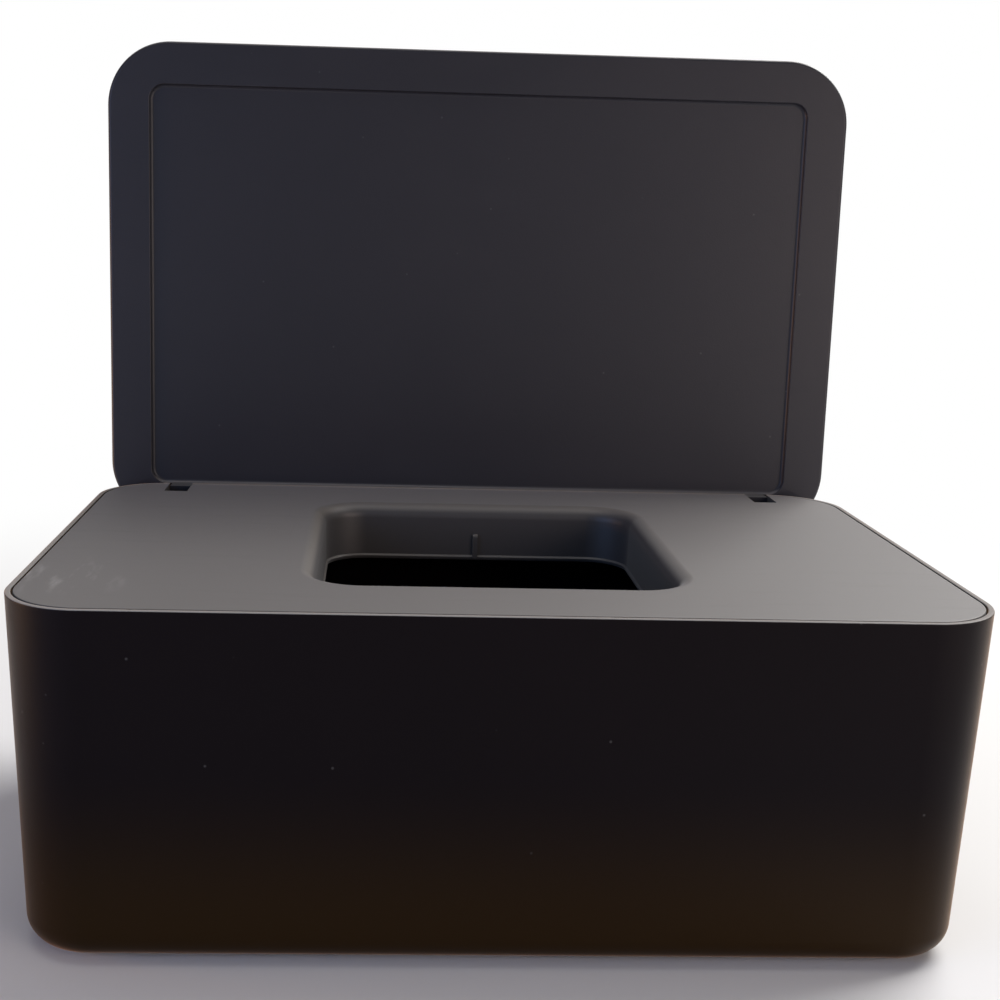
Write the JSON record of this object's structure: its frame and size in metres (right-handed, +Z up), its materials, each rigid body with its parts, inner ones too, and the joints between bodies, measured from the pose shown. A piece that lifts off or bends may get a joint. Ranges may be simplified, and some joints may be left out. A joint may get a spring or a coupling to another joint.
{
  "type": "wipes dispenser box",
  "caption": "Low rectangular box with round corners, an inner deck with a collared mouth for drawing wipes, and a flat hinged lid.",
  "frame": {"origin": "centre of the box's flat underside, which the foot pads stand a little proud of", "axes": "+X along the box's long side, to the right as seen from the front, +Y from the front to the hinge side, +Z up"},
  "size_m": [0.188, 0.1307, 0.1819],
  "materials": {
    "box_plastic": "satin moulded charcoal plastic",
    "deck_plastic": "satin moulded charcoal plastic",
    "lid_plastic": "satin moulded charcoal plastic",
    "pad_rubber": "matt moulded rubber"
  },
  "bodies": {
    "box": {"box_body": "box_plastic", "inner_deck": "deck_plastic", "foot_pad_front_left": "pad_rubber", "foot_pad_front_right": "pad_rubber", "foot_pad_rear_left": "pad_rubber", "foot_pad_rear_right": "pad_rubber"},
    "lid": {"lid": "lid_plastic"}
  },
  "joints": [
    {"name": "lid_hinge", "type": "hinge", "parent": "box", "child": "lid", "pos_m": [0, 0.0566, 0.0638], "axis": [1, 0, 0], "range_deg": [0, 91.7]}
  ]
}
